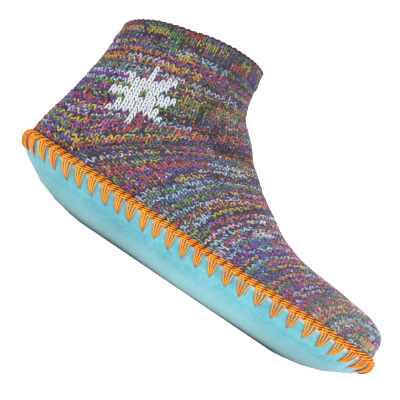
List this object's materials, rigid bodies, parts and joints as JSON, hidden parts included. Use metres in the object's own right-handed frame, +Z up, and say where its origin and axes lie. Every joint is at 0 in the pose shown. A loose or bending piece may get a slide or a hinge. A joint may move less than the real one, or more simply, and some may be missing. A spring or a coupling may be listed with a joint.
{
  "type": "slipper sock",
  "caption": "Ankle-high knitted slipper sock with a turned-up suede sole, an orange crocheted edging stitched over the joint, a ribbed collar and a felt insole; right foot",
  "frame": {"origin": "on the floor, below the middle of the bounding box", "axes": "+X to the toe, +Y to the inner side of the foot, +Z up"},
  "size_m": [0.252, 0.094, 0.135],
  "materials": {
    "marled_knit": "stocking-stitch wool, dark charcoal marled with small bright flecks that run along the rows, matt",
    "turquoise_suede": "turquoise suede, short mottled nap, matt",
    "orange_cord": "bright orange mercerised cord, crocheted, slight sheen",
    "grey_felt": "pressed wool felt, matt"
  },
  "bodies": {
    "root": {"upper": "marled_knit", "sole": "turquoise_suede", "edging": "orange_cord", "insole": "grey_felt"}
  },
  "joints": []
}
